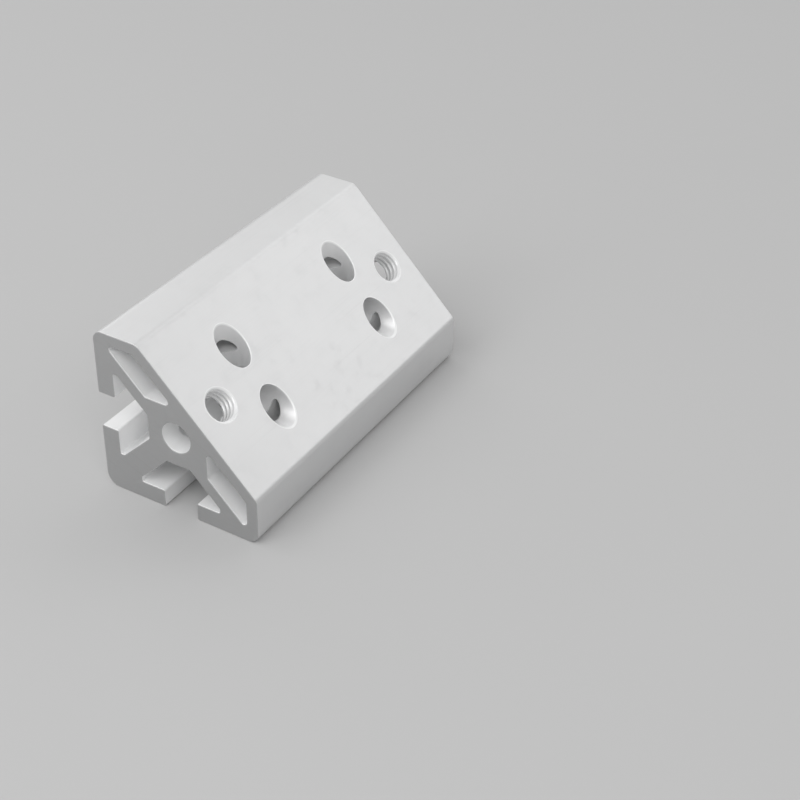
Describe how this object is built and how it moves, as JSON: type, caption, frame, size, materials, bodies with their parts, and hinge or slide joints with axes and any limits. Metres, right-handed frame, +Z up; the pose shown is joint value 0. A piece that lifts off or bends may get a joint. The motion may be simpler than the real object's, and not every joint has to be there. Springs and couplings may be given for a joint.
{
  "type": "t-slot corner bracket",
  "caption": "Right-angled extruded corner bracket with a sloping face, a T-slot in each leg, screw access bores and tapped holes.",
  "frame": {"origin": "centre of the bottom of the overall box, on the face of the base leg", "axes": "+Y along the extrusion, +Z up; the back leg rises on the -X side and the slope faces +X and +Z"},
  "size_m": [0.0384, 0.08, 0.0385],
  "materials": {
    "anodised_aluminium": "natural satin anodised, with bright broken edges"
  },
  "bodies": {
    "root": {"bracket": "anodised_aluminium"}
  },
  "joints": []
}
